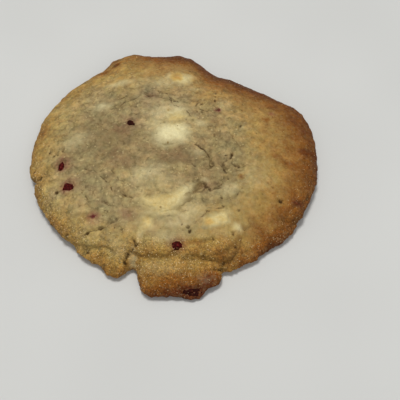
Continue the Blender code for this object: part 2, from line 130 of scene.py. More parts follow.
# Cracks: width and depth in mm, then the points they pass.
CRACKS = (
    (1.1, 0.8, ((7.6, -3.1), (10.3, -5.4), (12.3, -7.7), (13.2, -10.9), (12.6, -12.6))),
    (1, 0.75, ((20, -7.1), (18.9, -9.2), (16.6, -10.3), (16.2, -12), (17.5, -14.3))),
    (0.8, 0.45, ((17.9, -8.6), (19.6, -10.8), (21.5, -11.9))),
    (0.8, 0.4, ((14, 1.5), (15, -2.1), (14, -4.7))),
    (1.1, 0.5, ((-10.4, 21.1), (-6.1, 21.8), (-1.8, 21.8), (1.1, 20.6))),
    (0.9, 0.45, ((-2.1, 18.9), (-0.2, 15.6), (1.2, 14.5))),
    (1.2, 0.45, ((-13.2, 20.3), (-17.4, 17.9), (-21.4, 15), (-25.4, 11), (-26.8, 7.2))),
    (1, 0.45, ((-29.7, -12.1), (-26.2, -13.9), (-23.3, -16.4), (-21.1, -19), (-19.6, -22.3))),
    (0.8, 0.45, ((-28.9, -16.9), (-29, -20), (-27.5, -21.7))),
    (0.9, 0.6, ((-16.3, -23), (-14.6, -24.4), (-13, -24.7))),
    (0.9, 0.45, ((-28.2, -36.2), (-27, -35.4), (-23.2, -35.2), (-20.3, -33.7), (-17.8, -32))),
    (0.9, 0.66, ((-12.1, -39.3), (-11.6, -41.4), (-14, -42.2), (-14.4, -43.5), (-15.2, -45.3))),
    (0.9, 0.38, ((7.4, -34.2), (8.4, -32.6), (10.8, -31), (13, -29.2), (16.6, -28.4))),
    (0.9, 0.5, ((5.7, -22.4), (8.3, -22.5), (10.2, -21.8), (11.5, -19.9))),
    (0.9, 0.55, ((10.9, -19.2), (12.2, -22), (14.1, -20.4), (16.1, -20.1))),
    (0.8, 0.45, ((-8.9, -24.8), (-7.3, -27.2), (-4.7, -27.6), (-1, -27.2))),
    (1, 0.45, ((23, -34.4), (26.3, -33.3), (29.6, -32.3))),
    (1.1, 0.6, ((-48.5, -13.4), (-45.2, -12.2), (-42.8, -12.5), (-40.6, -12.8))),
    (0.8, 0.3, ((-4.4, -32.8), (-0.6, -31.6), (3.8, -32.2))),
    (0.8, 0.3, ((-3.6, -30.4), (0.6, -29.4), (5, -29.6))),
    (0.7, 0.4, ((19.4, 3), (20.6, -1), (22.6, -3.6))),
    (0.7, 0.35, ((8.6, 14), (11.4, 12.2), (12.2, 9.4))),
    (0.7, 0.35, ((-20.6, -13.2), (-18, -17.4), (-13.6, -20.4))),
    (0.7, 0.35, ((23, -20), (20.4, -24.4), (19, -27.2))),
    # This crack and its painted shade stand where the notch beside the tongue lies in shade.
    (1.4, 1.1, ((13.4, -47.4), (14.6, -47.2), (16, -46.6))),
    (0.9, 0.45, ((-14.7, 15.6), (-13.7, 14.5), (-12.6, 12.9))),
    (0.9, 0.4, ((-20.1, 19.2), (-18.7, 20.1), (-17.4, 20.7))),
    (0.9, 0.32, ((-7.5, 24), (-4.3, 24.3), (-1, 24))),
    (0.9, 0.45, ((-3, 21.6), (-2, 19.9), (-0.9, 18.3), (0.7, 16.7))),
    (0.8, 0.35, ((3, 21), (4.2, 20.9), (5.5, 19.9))),
    (0.9, 0.45, ((7.9, 16.9), (7.5, 14.5), (7.9, 12.4))),
    (1, 0.55, ((9.5, 12.4), (10.6, 9.8), (11.4, 8.8))),
    (0.8, 0.35, ((11.8, 12.9), (12.5, 14), (13.4, 14.3))),
    (0.9, 0.45, ((14.3, 5), (14.9, 3.1), (15.2, 1.3))),
    (0.9, 0.42, ((4.4, 12.4), (5, 11.6), (5.9, 10.3))),
    (1, 0.45, ((6.4, -11.6), (7.3, -12.4))),
    (0.8, 0.35, ((15.1, -11), (16.7, -11.7))),
    (1.1, 0.6, ((7.5, -21.2), (9.6, -18.9), (11.7, -19.9), (12.3, -21.2))),
    (0.9, 0.45, ((14.9, -19.9), (16.6, -18.5))),
    (0.9, 0.45, ((-43.2, -2.2), (-41.4, -3.7), (-39.6, -5.7))),
    (0.8, 0.38, ((-32.7, -10.4), (-32.1, -11.6), (-31.4, -13.1))),
    (0.9, 0.38, ((-30.1, -21.7), (-28.3, -23.7), (-26.9, -24.9))),
    (0.9, 0.38, ((-22.6, -25.4), (-20.8, -27), (-18.1, -27.8))),
)
# Soft creases without a crack: width and depth in mm, how dark the painted shade in them is, then
# the points they pass.
CREASES = (
    (1.5, 0.3, 0.6, ((-7.4, -43.9), (-1.7, -44.4), (0.8, -43))),
    (1.6, 0.3, 0.66, ((3.4, -44.4), (8, -44.8), (13.3, -44.4))),
    (1.4, 0.25, 0.42, ((13.3, -44.4), (17.2, -42.9), (20.1, -40.3), (21.8, -37.6))),
    (1.5, 0.2, 0.38, ((5.4, -40), (9.4, -39.8), (13, -38.9))),
    (2.4, 0.3, 0.5, ((9.4, -19.2), (6.8, -21.4), (4.4, -24.2))),
    (2, 0.18, 0.04, ((-29.6, -38.7), (-23.8, -41.6), (-14.9, -43.6))),
    (1.8, 0.4, 0.1, ((-7, -37.4), (-3, -38.4), (-0.6, -38))),
    (2, 0.5, 0.1, ((5.6, -20.6), (4, -25), (2.6, -29.2))),
)
# Holes: x, y, width and depth in mm.
HOLES = (
    (-32, 24.1, 0.9, 0.4), (-38, 7.9, 0.8, 0.3), (8.6, 24.5, 0.9, 0.5), (7.8, 21.9, 0.9, 0.4),
    (14.2, 17.9, 1.5, 0.5), (23.1, 6.2, 1.1, 0.6), (28.3, 3.1, 0.8, 0.3), (35.5, -24, 1.7, 1.3),
    (7.3, -15.9, 1.1, 0.4), (16, -24.5, 1, 0.6), (16.6, -27.9, 0.9, 0.5), (21.5, -28.3, 0.9, 0.5),
    (19.7, -37.1, 1, 0.6), (13, -39.2, 0.8, 0.5), (14.4, 20.4, 1.4, 0.5), (11.1, -30.3, 1, 0.5),
    (3.2, -34.2, 0.9, 0.4), (5.5, -36.6, 1.2, 0.8), (5.1, -35.4, 0.9, 0.6), (-16, -35.8, 0.9, 0.5),
    (-21.8, -28.8, 0.9, 0.4), (-38.8, -20.5, 1.3, 0.6), (-37.6, -18.1, 1, 0.3),
    (-27.1, -41.1, 1.1, 0.6), (-34.2, -35, 1.1, 0.6), (-34.4, -36.3, 1, 0.6),
    (20.3, -41.3, 0.9, 0.6), (16.5, -45.1, 0.9, 0.5), (2.1, -53, 0.9, 0.4), (-43.7, -0.5, 0.9, 0.4),
    (-43, -3.7, 1, 0.5), (-41, -5.5, 0.9, 0.4), (-13.8, 11.1, 0.9, 0.4), (5.2, 33.6, 1, 0.4),
    (7.3, 33.4, 0.9, 0.4), (-27.2, -35.9, 1.3, 1), (-22.8, -34.8, 1, 0.7), (-11.4, -40.6, 0.9, 0.7),
    (-14.2, -43, 1, 0.7), (-15, -45.4, 1, 0.7), (42, -22.5, 0.9, 0.5), (45.2, -20.2, 1.1, 0.6),
    (-45.6, -13, 1.3, 0.8), (-48, -9.6, 1.1, 0.5), (17.7, -7.4, 1.1, 0.6), (13, -11.6, 1.2, 0.8),
    (16.4, -11.6, 1.2, 0.8), (19.8, -7.4, 1.2, 0.7), (10.8, -20, 1, 0.6), (9.5, 16.5, 0.9, 0.5),
    (18.3, -16.8, 0.9, 0.5), (22, -11.9, 1, 0.6), (-9.4, 20.6, 1.8, 0.6), (33.6, 29.6, 1.6, 0.7),
)
# Small holes strewn over the top: how many, and mm from the middle that they and the square
# they are drawn from reach.
STRAY_HOLES, STRAY_REACH, STRAY_BOX, STRAY_SEED = 170, 46.0, 47.0, 11
STRAY_MIDDLE, STRAY_SPREAD = (-4.0, -8.0), 30.0      # mm: where they are thickest, and how widely
STRAY_WIDTHS, STRAY_DEPTHS = (0.6, 0.9), (0.08, 0.34)


class SetIn:
    """A piece set in the dough, and the opening in the skin that shows it.

    corners: the opening in plan; core and halo: how far, in mm, its milkiness fades inside and
    outside the opening; wobble: how uneven that edge is; toasted: its toasted soft spots.
    """

    def __init__(self, node, core, halo, wobble, corners, toasted):
        self.node = node
        self.core = core
        self.halo = halo
        self.wobble = wobble
        self.corners = [np.array(corner) for corner in corners]
        self.toasted = toasted

    def milkiness(self, at):
        """1 where only chocolate shows, falling to 0 over the dough around it."""
        away = outside(at[:, 0], at[:, 1], self.corners) + self.wobble * noise_at(at, 2.2, 51.0)
        return 1.0 - smooth(-self.core, self.halo, away)


CHOCOLATE = (
    SetIn("white_chocolate_1", 3.6, 3.0, 0.8,
          ((-6.6, 0.4), (-5.6, 4.2), (-1.2, 7.4), (3.4, 6.4), (5.0, 3.2), (4.8, -0.6),
           (2.8, -2.4), (-0.2, -2.2), (-3.4, -3.2), (-5.8, -1.8)),
          ((1, 8.4, 6.4, 4, 0.46),)),
    SetIn("white_chocolate_2", 1.4, 2.8, 0.7,
          ((-9.8, -25.4), (-8.8, -27.4), (-6.0, -28.8), (-2.4, -29.3), (1.6, -28.0), (4.6, -23.6),
           (5.8, -20.8), (4.4, -21.2), (2.2, -23.6), (-1.4, -25.8), (-6.0, -26.0)),
          ((-4, -26, 12, 8, 0.44),)),
    SetIn("white_chocolate_3", 1.3, 1.2, 1.1,
          ((9.9, -35.2), (10.4, -32.6), (13.4, -31.2), (17.8, -30.4), (18.2, -33.2),
           (15.2, -35.4), (12.1, -36.0)),
          ((11.6, -34, 2.8, 2.4, 0.74, 20), (15, -33, 8, 6, 0.4))),
    SetIn("white_chocolate_4", 1.2, 1.8, 0.7,
          ((-9.4, -31.8), (-6.8, -32.0), (-6.8, -34.7), (-8.8, -35.2)),
          ((-8, -33, 5, 5, 0.46),)),
    SetIn("white_chocolate_5", 2.0, 2.2, 0.7,
          ((-2.2, 30.2), (0.8, 31.2), (5.0, 29.4), (4.6, 26.8), (1.6, 26.4), (-1.3, 26.8)),
          ((0.4, 29.6, 3, 3.4, 0.9, 10), (3, 28.8, 8, 6, 0.2))),
)
ALL_TOASTED = [spot for piece in CHOCOLATE for spot in piece.toasted]

# Berry pieces: the node, how far of its half size the opening reaches, and how dark it is.
BERRIES = (
    ("berry_piece_1", 1.00, 0.10), ("berry_piece_2", 1.00, 0.05), ("berry_piece_3", 0.96, 0.22),
    ("berry_piece_4", 0.90, 0.80), ("berry_piece_5", 1.00, 0.82),
)


# ---- fields ----------------------------------------------------------

def smooth(low, high, value):
    """Runs from 0 at low to 1 at high, level at both ends."""
    share = np.clip((value - low) / (high - low), 0.0, 1.0)
    return share * share * (3.0 - 2.0 * share)


def noise_at(places, size, seed=0.0):
    """Smooth noise from about -1 to 1 with lumps of a size in mm."""
    shift = Vector((seed, 1.7 * seed, 0.6 * seed))
    return np.array([noise.noise(Vector(place) + shift) for place in places / size])


def lumps(places, rows):
    """Noise of several sizes together: height and size of the lumps in mm, and a seed."""
    return sum(height * noise_at(places, size, seed) for height, size, seed in rows)


def thin_lines(places, size, width, seed):
    """1 on a net of thin winding lines and 0 between them."""
    return 1.0 - smooth(0.0, width, np.abs(noise_at(places, size, seed)))


def line_distance(x, y, points):
    """Distance in mm of each place from a run of straight lines."""
    nearest = np.full(len(x), np.inf)
    for (start_x, start_y), (end_x, end_y) in zip(points[:-1], points[1:]):
        run_x, run_y = end_x - start_x, end_y - start_y
        share = ((x - start_x) * run_x + (y - start_y) * run_y) / (run_x ** 2 + run_y ** 2)
        share = np.clip(share, 0.0, 1.0)
        away = np.hypot(x - start_x - share * run_x, y - start_y - share * run_y)
        nearest = np.minimum(nearest, away)
    return nearest


def outside(x, y, corners):
    """Distance in mm from a plan shape, negative inside it."""
    following = list(corners[1:]) + [corners[0]]
    away = line_distance(x, y, list(corners) + [corners[0]])
    inside = np.zeros(len(x), bool)
    for (start_x, start_y), (end_x, end_y) in zip(corners, following):
        if start_y == end_y:
            continue
        crossing = (start_y > y) != (end_y > y)
        inside ^= crossing & (x < (end_x - start_x) * (y - start_y) / (end_y - start_y) + start_x)
    return np.where(inside, -away, away)


SPOT_FADE = (0.1, 1.35)         # shares of a spot's size between which its strength fades


def spots(x, y, rows):
    """The strongest of a list of soft oval spots at each place."""
    field = np.zeros(len(x))
    for middle_x, middle_y, half_length, half_width, strength, *turn in rows:
        angle = math.radians(turn[0]) if turn else 0.0
        cos, sin = math.cos(angle), math.sin(angle)
        along = ((x - middle_x) * cos + (y - middle_y) * sin) / half_length
        across = ((y - middle_y) * cos - (x - middle_x) * sin) / half_width
        fade = 1.0 - smooth(*SPOT_FADE, np.hypot(along, across))
        field = np.maximum(field, strength * fade)
    return field


# ---- meshes ----------------------------------------------------------

def normals_of(mesh):
    normals = np.empty(3 * len(mesh.vertices))
    mesh.vertices.foreach_get("normal", normals)
    return normals.reshape(-1, 3)


def plan(mesh):
    """A mesh's points in mm from the middle of the round."""
    places = np.empty(3 * len(mesh.vertices))
    mesh.vertices.foreach_get("co", places)
    return places.reshape(-1, 3) / MM - np.array((0.0, ROUND_MIDDLE_Y, 0.0))


def put_points(mesh, places):
    """Moves a mesh's points to places in mm from the middle of the round."""
    mesh.vertices.foreach_set("co", ((places + np.array((0.0, ROUND_MIDDLE_Y, 0.0))) * MM).ravel())
    mesh.update()


def add_attribute(mesh, name, values):
    attribute = mesh.attributes.new(name, "FLOAT", "POINT")
    attribute.data.foreach_set("value", np.clip(values, 0.0, 1.0).astype(np.float32))


def new_piece(name, mesh, material=None):
    piece = bpy.data.objects.new(name, mesh)
    bpy.context.scene.collection.objects.link(piece)
    if material:
        mesh.materials.clear()
        mesh.materials.append(material)
    mesh.shade_smooth()
    return piece


def settle(piece, slot, *nodes):
    """Hangs a finished piece on the cookie's body, in place of CAD nodes if it has them."""
    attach(piece, "root")
    if nodes:
        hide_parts(*nodes)


def merged_copy(node):
    """The node's solid as a bmesh of its own, with its loose triangles joined."""
    shape = bmesh.new()
    shape.from_mesh(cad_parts[node].data)
    bmesh.ops.remove_doubles(shape, verts=shape.verts, dist=0.0005 * MM)
    return shape


def evaluated(piece):
    """A piece's mesh after its modifiers. The piece itself is removed."""
    graph = bpy.context.evaluated_depsgraph_get()
    mesh = bpy.data.meshes.new_from_object(piece.evaluated_get(graph))
    bpy.data.objects.remove(piece)
    return mesh


def remeshed(shape, voxel, rounds):
    """A bmesh as one even skin with faces of a size in mm, smoothed for a number of rounds."""
    mesh = bpy.data.meshes.new("solid")
    shape.to_mesh(mesh)
    shape.free()
    holder = new_piece("holder", mesh)
    skin = holder.modifiers.new("Skin", "REMESH")
    skin.mode = "VOXEL"
    skin.voxel_size = voxel * MM
    ease = holder.modifiers.new("Ease", "SMOOTH")
    ease.factor = 0.5
    ease.iterations = rounds
    return evaluated(holder)


class Skin:
    """A solid's top, to find its height over any place in plan."""

    ABOVE = 40.0                                 # mm: higher than anything on the cookie

    def __init__(self, mesh):
        faces = [tuple(face.vertices) for face in mesh.polygons]
        self.tree = BVHTree.FromPolygons([tuple(place) for place in plan(mesh)], faces)

    def height(self, x, y):
        hit = self.tree.ray_cast(Vector((x, y, self.ABOVE)), Vector((0.0, 0.0, -1.0)))[0]
        return None if hit is None else hit.z


# ---- where a point of the dough is -----------------------------------

EDGE_STEPS = 240
SOFT_MIDDLE, SOFT_REACH = (-1.0, -2.0), (14.0, 32.0)     # mm: the soft middle and where it ends
FRONT_STARTS = (-35.0, -43.0)                # y over which the browned, sandy front begins
SANDY_RIM, SANDY_STARTS = (7.5, 1.0), (12.0, -25.0)      # mm in from the edge, and y
FLAKY_REACH = (24.0, 38.0)                   # mm from the middle over which the flaky skin ends
FLAKY_LEFT, FLAKY_LEFT_SHARE = (0.0, -25.0), 0.85        # it goes on to the left,
FLAKY_RIGHT, FLAKY_RIGHT_LOSS = (14.0, 30.0), 0.5        # and is weaker to the right
WARMTH = ((-52, 1), (-41, 0.7), (-33, 0.38), (0, 0.32), (20, 0.1), (38, 0))      # y and warmth
WARM_LEFT, LEFT_WARMTH = (0.0, -22.0), 0.36              # the left is at least this warm


def outline(x, y):
    """The largest radius in each small sector of the round."""
    sector = ((np.degrees(np.arctan2(y, x)) + 180.0) / 360.0 * EDGE_STEPS).astype(int) % EDGE_STEPS
    edge = np.zeros(EDGE_STEPS)
    np.maximum.at(edge, sector, np.hypot(x, y))
    return np.append(edge, edge[0])


class Places:
    """A dough mesh's points in plan, and how far in from the edge and how high each one is."""

    def __init__(self, mesh, edge=None):
        self.at = plan(mesh)
        self.x, self.y, self.z = self.at.T
        self.normals = normals_of(mesh)
        self.up = self.normals[:, 2]
        self.angle = np.degrees(np.arctan2(self.y, self.x))
        self.radius = np.hypot(self.x, self.y)
        self.edge = outline(self.x, self.y) if edge is None else edge
        sectors = np.linspace(-180.0, 180.0, EDGE_STEPS + 1)
        self.inwards = np.maximum(np.interp(self.angle, sectors, self.edge) - self.radius, 0.0)
        self.top = smooth(-0.2, 0.4, self.up) * smooth(0.3, 1.2, self.z)
        self.find_kinds_of_skin()

    def find_kinds_of_skin(self):
        """How soft, sandy, flaky and warm in colour the skin is, each from 0 to 1."""
        x, y = self.x, self.y
        self.middle = 1.0 - smooth(*SOFT_REACH, np.hypot(x - SOFT_MIDDLE[0], y - SOFT_MIDDLE[1]))
        self.front = smooth(*FRONT_STARTS, y)
        rim = smooth(*SANDY_RIM, self.inwards) * smooth(*SANDY_STARTS, y)
        self.sandy = np.maximum(rim, self.front)
        inner = 1.0 - smooth(*FLAKY_REACH, self.radius)
        inner *= 1.0 - FLAKY_RIGHT_LOSS * smooth(*FLAKY_RIGHT, x)
        self.flaky = np.maximum(inner, FLAKY_LEFT_SHARE * smooth(*FLAKY_LEFT, x))
        by_depth = np.interp(y, *np.array(WARMTH, float).T)
        self.warmth = np.maximum(by_depth, LEFT_WARMTH * smooth(*WARM_LEFT, x))


# ---- the dough's relief ----------------------------------------------

LAYER = 0.14                                 # mm from one layer of the skin to the next
LAYER_LUMPS = ((3.0, 5.2, 71.0), (1.3, 2.3, 72.0))
RIDGE_REACH = 1.6                            # mm over which a crack's ridge falls to 0
CRACK_SHARE, HOLE_SHARE = 0.42, 0.5          # of a width at which a crack or hole fades to 1/e
CRACK_WOBBLE_X = ((0.4, 2.4, 31.0), (0.3, 1.2, 33.0))
CRACK_WOBBLE_Y = ((0.4, 2.4, 47.0), (0.3, 1.2, 49.0))
HOLE_BOX = 2.5                               # mm around a hole that are looked at
SOFT_LUMPS = ((0.32, 6.5, 1.0), (0.26, 2.9, 2.0))
GRAIN_LUMPS = ((0.22, 1.5, 3.0), (0.14, 0.9, 4.0))
CALM_BACK, CALM_LOSS = (12.0, 32.0), 0.45    # y over which the grain gets calmer, and by how much
WRINKLE_HEIGHT, LINE_DEPTH = 0.34, 0.20      # mm
BENT_LUMPS = ((2.6, 9.0, 14.0), (1.0, 4.0, 18.0))
WRINKLES_START, WRINKLES_END = (7.0, 15.0), (27.0, 40.0)     # mm from the middle


def stray_holes():
    """Small holes all over the top, thicker near the middle and the lower left."""
    draw = np.random.default_rng(STRAY_SEED)
    rows = []
    while len(rows) < STRAY_HOLES:
        x, y = draw.uniform(-STRAY_BOX, STRAY_BOX, 2)
        away = ((x - STRAY_MIDDLE[0]) ** 2 + (y - STRAY_MIDDLE[1]) ** 2) / STRAY_SPREAD ** 2
        keep = 0.35 + 0.65 * math.exp(-away)
        if math.hypot(x, y) < STRAY_REACH and draw.random() < keep:
            rows.append((x, y, draw.uniform(*STRAY_WIDTHS), draw.uniform(*STRAY_DEPTHS)))
    return rows


def hollows(places):
    """Depth in mm of the cracks and holes, and a ridge from 0 to 1 that peaks along them for their
    painted shade.
    """
    depth, ridge = np.zeros((2, len(places.x)))
    x = places.x + lumps(places.at, CRACK_WOBBLE_X)
    y = places.y + lumps(places.at, CRACK_WOBBLE_Y)
    along = smooth(-0.6, 0.3, noise_at(places.at, 2.4, 5.0))
    for width, deep, points in CRACKS:
        away = line_distance(x, y, points)
        share = np.exp(-(away / (CRACK_SHARE * width)) ** 2) * (0.35 + 0.75 * along)
        depth = np.maximum(depth, deep * share)
        peak = min(0.60 + 0.48 * deep, 1.0) * (0.74 + 0.30 * along)
        ridge = np.maximum(ridge, peak - away / RIDGE_REACH)
    for hole_x, hole_y, width, deep in list(HOLES) + stray_holes():
        near = (np.abs(places.x - hole_x) < HOLE_BOX) & (np.abs(places.y - hole_y) < HOLE_BOX)
        away = np.hypot(x[near] - hole_x, y[near] - hole_y)
        share = np.exp(-(away / (HOLE_SHARE * width)) ** 2)
        depth[near] = np.maximum(depth[near], deep * share)
        peak = min(0.60 + 0.50 * deep, 1.0) - np.maximum(away - 0.2 * width, 0.0) / RIDGE_REACH
        ridge[near] = np.maximum(ridge[near], peak)
    return depth * places.top, ridge * places.top


def ring_noise(places, bent, step, turns, seed):
    """Noise drawn out round the middle: mm from ring to ring, and lumps along each."""
    turn = np.radians(places.angle)
    rings = np.stack([bent / step, turns * np.cos(turn), turns * np.sin(turn)], axis=1)
    return noise_at(rings, 1.0, seed)


def wrinkles(places):
    """Shallow folds that run round the middle, from about -1 to 1."""
    bent = places.radius + lumps(places.at, BENT_LUMPS)
    folds = ring_noise(places, bent, 2.1, 5.5, 15.0)
    folds += 0.6 * ring_noise(places, bent, 1.15, 10.0, 16.0)
    ring = smooth(*WRINKLES_START, places.radius) * (1.0 - smooth(*WRINKLES_END, places.radius))
    return folds * ring


def layers(places):
    """Height in mm of the thin winding layers that the skin has broken into."""
    level = lumps(places.at, LAYER_LUMPS)
    whole = np.floor(level)
    return LAYER * (whole + smooth(0.30, 0.70, level - whole) - 0.5)


def creases(places):
    """Depth in mm of the soft creases, and how dark their painted shade is, from 0 to 1."""
    depth, shade = np.zeros((2, len(places.x)))
    for width, deep, dark, points in CREASES:
        away = line_distance(places.x, places.y, points) + 0.5 * noise_at(places.at, 3.0, 8.0)
        share = np.exp(-(away / (0.5 * width)) ** 2) * places.top
        depth = np.maximum(depth, deep * share)
        shade = np.maximum(shade, dark * share)
    return depth, shade


def crumb(places):
    """Height in mm of the dough's own unevenness."""
    grain = lumps(places.at, GRAIN_LUMPS) * (1.0 - CALM_LOSS * smooth(*CALM_BACK, places.y))
    rough = 0.32 * noise_at(places.at, 1.7, 6.0) + 0.30 * np.abs(noise_at(places.at, 1.0, 7.0))
    lines = thin_lines(places.at, 3.2, 0.13, 9.0)
    lines *= smooth(-0.1, 0.3, noise_at(places.at, 4.5, 10.0))
    lines *= 0.25 + 0.75 * places.middle
    height = lumps(places.at, SOFT_LUMPS) + grain + rough * places.sandy
    height += (WRINKLE_HEIGHT * wrinkles(places) - LINE_DEPTH * lines) * places.top
    height += layers(places) * (0.4 + 0.6 * places.middle) * places.top
    height += spots(places.x, places.y, SWELLINGS) * places.top
    return (height - creases(places)[0]) * smooth(0.02, 0.9, places.z)


# ---- the dough -------------------------------------------------------

DOUGH_VOXEL = 0.385        # mm
DOUGH_ROUNDS = 12
FILLER_GROWTH, FILLER_DROP = 0.45, 0.65      # mm: fills a pocket to just below its piece
UNDERSIDE_TOP = 0.05                         # mm: points below this lie on the underside
UNDERSIDE_SHARE = 0.04                       # of the underside's faces that are kept
FILM = 0.06                                  # mm of dough over a covered part of a piece
SETTLED = 0.10                               # mm that the dough stays below what shows
DEEPEST = 0.6                                # mm that it goes down for a piece, at the most
CHUNK_BURIED = (-0.45, 0.0)                  # mm: how far below the dough's own height a piece
BERRY_BURIED = (-2.0, -1.4)                  # stays covered, and from where it shows
CHUNK_NEAR, CHUNK_SHOWS = (2.0, 4.5), (-1.5, 0.9)        # mm out from a chunk's opening
BERRY_NEAR, BERRY_SHOWS = (0.45, 0.9), (-0.15, 0.15)     # shares of a berry's half size
CORE_SHARE = 0.4                             # of a chunk's core: how far dough reaches over it


def closed_dough():
    """The dough's solid with its pockets filled to just below the pieces in them."""
    shape = merged_copy("dough")
    for node in [piece.node for piece in CHOCOLATE] + [row[0] for row in BERRIES]:
        filler = merged_copy(node)
        filler.normal_update()
        for point in filler.verts:
            point.co += point.normal * FILLER_GROWTH * MM
            point.co.z -= FILLER_DROP * MM
        mesh = bpy.data.meshes.new("filler")
        filler.to_mesh(mesh)
        filler.free()
        shape.from_mesh(mesh)
    return remeshed(shape, DOUGH_VOXEL, DOUGH_ROUNDS)


def shape_round(places, height, skin, near, shows, buried):
    """Lays the dough over a piece nearby, and below it where the piece shows."""
    for index in np.nonzero((near > 0.01) & (places.up > 0.0))[0]:
        top = skin.height(places.x[index], places.y[index])
        if top is None:
            continue
        covered = max(height[index], top + FILM)
        bare = max(min(height[index], top - SETTLED), height[index] - DEEPEST)
        share = shows[index] * smooth(*buried, top - height[index])
        wanted = covered + (bare - covered) * share
        height[index] += (wanted - height[index]) * near[index]
    return height


def berry_outside(places, node, reach):
    """Distance from a berry's opening as a share of its size, negative inside."""
    low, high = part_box(node)
    middle, half = (low + high) * 0.5 / MM, (high - low) * 0.5 / MM
    away_x = (places.x - middle.x) / half.x
    away_y = (places.y + ROUND_MIDDLE_Y - middle.y) / half.y
    return np.hypot(away_x, away_y) - reach + 0.36 * noise_at(places.at, 1.2, 81.0)


def thin_underside(mesh, places):
    """Keeps few faces on the flat underside."""
    holder = new_piece("holder", mesh)
    low = places.z < UNDERSIDE_TOP
    group = holder.vertex_groups.new(name="underside")
    group.add([int(index) for index in np.nonzero(low)[0]], 1.0, "REPLACE")
    thin = holder.modifiers.new("Thin", "DECIMATE")
    thin.vertex_group = "underside"
    thin.ratio = 1.0 - (1.0 - UNDERSIDE_SHARE) * low.sum() / len(low)
    return evaluated(holder)


def make_dough(material, chocolate_meshes, berry_meshes):
    mesh = closed_dough()
    places = Places(mesh)
    depth = hollows(places)[0]
    at = places.at + places.normals * (crumb(places) - depth)[:, None]
    height = at[:, 2]
    for piece, solid in zip(CHOCOLATE, chocolate_meshes):
        away = outside(places.x, places.y, piece.corners)
        near = 1.0 - smooth(*CHUNK_NEAR, away)
        shows = 1.0 - smooth(*CHUNK_SHOWS, away + CORE_SHARE * piece.core)
        height = shape_round(places, height, Skin(solid), near, shows, CHUNK_BURIED)
    for (node, reach, _), solid in zip(BERRIES, berry_meshes):
        away = berry_outside(places, node, reach)
        near = 1.0 - smooth(*BERRY_NEAR, away)
        shows = 1.0 - smooth(*BERRY_SHOWS, away)
        height = shape_round(places, height, Skin(solid), near, shows, BERRY_BURIED)
    at[:, 2] = np.maximum(height, 0.0)
    put_points(mesh, at)
    fine = thin_underside(mesh, places)
    colour_dough(fine, Places(fine, places.edge))
    return new_piece("baked_dough", fine, material)


# ---- how the dough is coloured ---------------------------------------

FRONT_BAKED, FRONT_RIM_BAKED, FRONT_RIM = 0.29, 0.22, (7.0, 0.0)     # the last in mm inwards
LEAST_BAKED = 0.04
BAKED_LUMPS = ((0.10, 9.0, 12.0), (0.09, 3.4, 13.0))
UNDERSIDE_BAKED, UNDERSIDE_UNEVEN = 0.62, 0.12
JUICE_HALO = 0.66


def toasted(at, rows):
    """How far the chocolate under each place is toasted, from 0 to 1."""
    return spots(at[:, 0], at[:, 1], rows) + 0.10 * noise_at(at, 1.5, 52.0)


def baked(places):
    """How far the dough is baked: 0 for pale, 1 for the darkest brown."""
    turn, share, reach = np.array(BAKED_EDGE, float).T
    share = np.interp(places.angle, turn, share)
    reach = np.interp(places.angle, turn, reach)
    rim = share * np.exp(-(places.inwards / reach) ** 1.5)
    front = places.front * (FRONT_BAKED + FRONT_RIM_BAKED * smooth(*FRONT_RIM, places.inwards))
    bake = np.maximum(rim, front) + LEAST_BAKED
    bake += spots(places.x, places.y, SCORCHED) - spots(places.x, places.y, PALER)
    bake += lumps(places.at, BAKED_LUMPS) * (1.0 - 0.6 * places.middle)
    below = UNDERSIDE_BAKED + UNDERSIDE_UNEVEN * noise_at(places.at, 12.0, 17.0)
    return np.where(places.up < -0.3, np.maximum(bake, below), bake)


def milky(places):
    """How much chocolate shows through, from 0 to 1."""
    milk = spots(places.x, places.y, MILKY) * (0.9 + 0.4 * noise_at(places.at, 1.8, 23.0))
    for piece in CHOCOLATE:
        milk = np.maximum(milk, piece.milkiness(places.at))
    return milk


def juicy(places):
    """How far juice has stained the dough, most round the lighter berries, from 0 to 1."""
    juice = spots(places.x, places.y, JUICY) * (0.9 + 0.5 * noise_at(places.at, 1.4, 21.0))
    for node, reach, darkness in BERRIES:
        halo = 1.0 - smooth(-0.2, 1.15, berry_outside(places, node, reach))
        juice = np.maximum(juice, JUICE_HALO * (1.0 - darkness) * halo)
    return juice


def colour_dough(mesh, places):
    """Keeps what the dough's material reads as attributes of its points."""
    milk = milky(places)
    damp = spots(places.x, places.y, DAMP) * (1.0 + 0.35 * noise_at(places.at, 3.6, 22.0))
    greyish = spots(places.x, places.y, GREYISH) * (1.0 + 0.5 * noise_at(places.at, 3.0, 24.0))
    for name, values in (
        ("bake", baked(places)),
        ("damp", damp * places.top),
        ("greyish", greyish * places.top),
        ("milk", milk * places.top),
        ("toasted", toasted(places.at, ALL_TOASTED)),
        ("juice", juicy(places) * places.top),
        # painted shade along the cracks and holes
        ("crack_shade", hollows(places)[1] * (1.0 - 0.6 * smooth(0.5, 0.9, milk))),
        # painted shade in the hollows of the folds
        ("fold_shade", np.maximum(-wrinkles(places), 0.0) * places.top),
        # painted shade in the soft creases
        ("crease_shade", creases(places)[1]),
        ("sandy", places.sandy),
        ("flaky", places.flaky),
        ("warmth", places.warmth),
    ):
        add_attribute(mesh, name, values)


# ---- the pieces set in it --------------------------------------------

CHUNK_VOXEL, CHUNK_ROUNDS = 0.3, 4
CHUNK_LUMPS = ((0.10, 2.4, 41.0), (0.05, 0.9, 42.0))
BERRY_VOXEL, BERRY_ROUNDS = 0.14, 3
BERRY_LUMPS = ((0.12, 0.6, 61.0), (0.30, 1.5, 62.0))
SEED_CELL = 1.0                              # mm across one of a berry's seed cells
CELL_SWELL, CELL_GROOVE = 0.10, 0.30         # mm
FLATTENED = 0.12                             # share that a berry crumb's upper half is lower


def roughened(mesh, at, lift):
    """Moves a mesh's points, which are at these places, out by a lift in mm."""
    put_points(mesh, at + normals_of(mesh) * lift[:, None])
    return mesh


